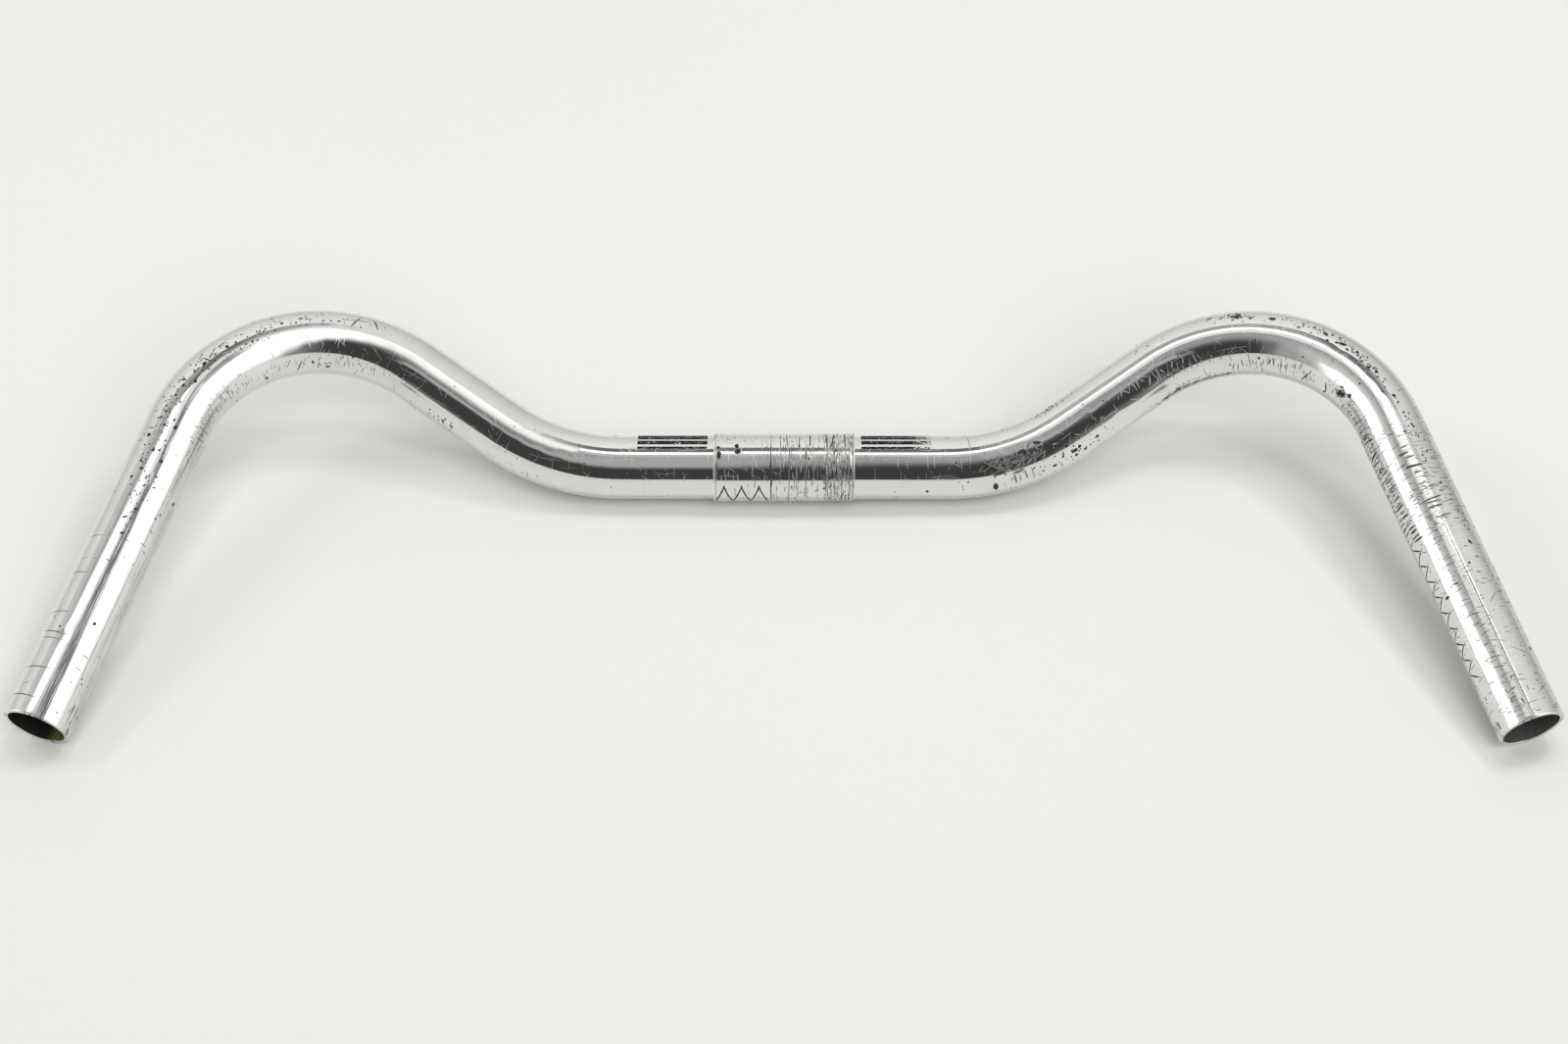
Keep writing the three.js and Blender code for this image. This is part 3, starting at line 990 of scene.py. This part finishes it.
def pale_floor():
    low, high, z = -FLOOR_HALF, FLOOR_HALF, REST_Z * MM
    mesh = bpy.data.meshes.new("floor")
    mesh.from_pydata(
        [(low, low, z), (high, low, z), (high, high, z), (low, high, z)], [], [(0, 1, 2, 3)]
    )
    material = bpy.data.materials.new("pale_floor")
    material.use_nodes = True
    nodes = Nodes(material.node_tree)
    place = nodes.node("ShaderNodeTexCoord").outputs["Object"]
    cloud = nodes.noise(place, 3.0, 2.0)
    color = nodes.mix(cloud, *FLOOR_TINTS)
    shader = nodes.node("ShaderNodeBsdfPrincipled", {"Base Color": color, "Roughness": 0.6})
    nodes.node("ShaderNodeOutputMaterial", {"Surface": shader.outputs["BSDF"]})
    mesh.materials.append(material)
    floor = bpy.data.objects.new("floor", mesh)
    bpy.context.scene.collection.objects.link(floor)


def studio_light():
    """A room as a world, seen in reflections: a white back wall, roof and right side, a lamp on the
    left, and a dark front and left. Dull surfaces get an even light from it instead."""
    world = bpy.data.worlds.new("studio")
    bpy.context.scene.world = world
    world.use_nodes = True
    n = Nodes(world.node_tree)
    direction = n.node("ShaderNodeTexCoord").outputs["Generated"]
    split = n.node("ShaderNodeSeparateXYZ", {0: direction})
    x, y, z = (split.outputs[axis] for axis in "XYZ")

    def beyond(normal, low, high):
        """A smooth step across the plane with that normal."""
        dot = n.node("ShaderNodeVectorMath", {0: direction, 1: normal}, operation="DOT_PRODUCT")
        return n.step(dot.outputs["Value"], low, high)

    def lay_over(level, mask, brightness):
        keep = n.math("SUBTRACT", 1.0, mask)
        return n.add(n.times(level, keep), n.times(mask, brightness))

    def with_panel(level, panel, brightness):
        mask = n.times(n.window(x, *panel[:3]), n.window(y, *panel[3:]))
        return lay_over(level, mask, brightness)

    # From the far side to the camera's: a wall that is brighter towards its top, a grey, and a dark
    # that is paler at both sides. The grey comes nearer the camera just left of the middle.
    back = n.times(n.math("MULTIPLY_ADD", z, 0.45, 0.64), n.step(x, 0.05, 0.45, 1.0, 0.86))
    window_left = n.window(x, -0.08, -0.03, 0.05)
    grey = n.add(n.step(x, -0.85, -0.4, 0.85, 0.4), n.times(window_left, 0.08))
    edge = n.math("MULTIPLY_ADD", window_left, -0.2, -0.53)
    softness = n.math("MULTIPLY_ADD", window_left, -0.11, 0.21)
    lit = n.step(n.math("SUBTRACT", y, edge), n.times(softness, -1.0), softness)
    unlit = n.add(n.step(x, -0.64, -0.46, 0.38, 0.055), n.step(x, 0.34, 0.56, 0.0, 0.2))
    level = lay_over(lay_over(unlit, lit, grey), n.step(y, 0.12, 0.2), back)

    level = with_panel(level, RIGHT_ROOF, 0.9)
    slot_middle = n.step(n.math("ABSOLUTE", x), 0.03, 0.16, 0.18, 0.44)
    slot_left = n.step(x, -0.5, -0.38, 0.2, 0.0)
    level = with_panel(level, ROOF_SLOT, n.add(slot_middle, slot_left))
    level = with_panel(level, LEFT_LAMP, 1.8)
    level = with_panel(level, LEFT_ROOF, 0.95)
    level = with_panel(level, ROOF_LAMP, 2.2)
    level = with_panel(level, NEAR_ROOF, 0.62)

    # The right side ends at a slanting plane, and is brighter towards its top.
    right_side = n.times(
        beyond((1, 0, 0), 0.04, 0.08),
        beyond((0, -1, 0), -0.1, -0.05),
        beyond((0.697, 0.713, 0.077), -0.2, 0.08),
    )
    right_level = n.times(n.step(z, 0.0, 0.4, 1.0, 1.9), n.step(x, 0.2, 0.45, 0.62, 1.0))
    level = lay_over(level, right_side, right_level)

    rays = n.node("ShaderNodeLightPath").outputs
    strength = lay_over(EVEN_LIGHT, rays["Is Glossy Ray"], level)
    strength = lay_over(strength, rays["Is Camera Ray"], BACKDROP_LIGHT)
    background = n.node("ShaderNodeBackground", {"Color": STUDIO_TINT, "Strength": strength})
    n.node("ShaderNodeOutputWorld", {"Surface": background.outputs["Background"]})
    # It isn't sampled as a lamp, so rays find it only where they bounce.
    world.cycles.sampling_method = "NONE"


def lamp(name, kind, place, energy, **settings):
    """A lamp aimed at the bar from a place in metres. It lights the floor and stays out of
    reflections."""
    light = bpy.data.lights.new(name, kind)
    light.energy = energy
    for setting, value in settings.items():
        setattr(light, setting, value)
    holder = bpy.data.objects.new(name, light)
    holder.location = place
    holder.rotation_euler = (-Vector(place)).to_track_quat("-Z", "Y").to_euler()
    holder.visible_glossy = False
    holder.visible_camera = False
    bpy.context.scene.collection.objects.link(holder)


# The camera's aim and distance are in metres, and its lens in mm on a sensor of this width
CAMERA_AIM = Vector((0.0, -0.0284, 0.0))
CAMERA_DISTANCE = 1.081
CAMERA_ELEVATION = math.radians(45.95)
CAMERA_SIDE = math.radians(0.41)
CAMERA_ROLL = math.radians(-0.24)
CAMERA_LENS = 67.5
SENSOR_WIDTH = 36.0


def photo_camera():
    camera = bpy.data.objects.new("camera", bpy.data.cameras.new("camera"))
    camera.data.lens = CAMERA_LENS
    camera.data.sensor_width = SENSOR_WIDTH
    camera.data.clip_start = 0.01
    tilt = Matrix.Rotation(math.pi / 2 - CAMERA_ELEVATION, 4, "X")
    turn = Matrix.Rotation(CAMERA_SIDE, 4, "Z") @ tilt
    away = Matrix.Translation((0.0, 0.0, CAMERA_DISTANCE))
    roll = Matrix.Rotation(CAMERA_ROLL, 4, "Z")
    camera.matrix_world = Matrix.Translation(CAMERA_AIM) @ turn @ away @ roll
    bpy.context.scene.collection.objects.link(camera)
    bpy.context.scene.camera = camera


def stand_for(piece, node):
    """Put a piece on the one body, in place of its CAD node."""
    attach(piece, "root")
    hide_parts(node)


photo_camera()
pale_floor()
studio_light()
lamp("roof_lamp", "AREA", (0.1, 0.14, 2.0), energy=4.0, size=0.4)
lamp("left_lamp", "AREA", (-0.95, 0.1, 1.0), energy=2.2, size=0.3)
lamp("right_lamp", "AREA", (0.55, 0.15, 1.2), energy=3.4, size=0.25)
lamp("fill_sun", "SUN", (0.6, -1.5, 1.9), energy=2.0, angle=math.radians(50))
bpy.context.scene.view_settings.view_transform = "Standard"

centre_line = CentreLine()
tube = tube_piece(centre_line, tube_material(), bore_material())
stand_for(tube, "bar_tube")
stand_for(sleeve_piece(sleeve_material()), "clamp_sleeve")
ink = ink_material()
for side in ("left", "right"):
    stripes = stripes_piece(f"{side}_stripes", f"{side}_mark", ink)
    stand_for(stripes, f"{side}_mark")
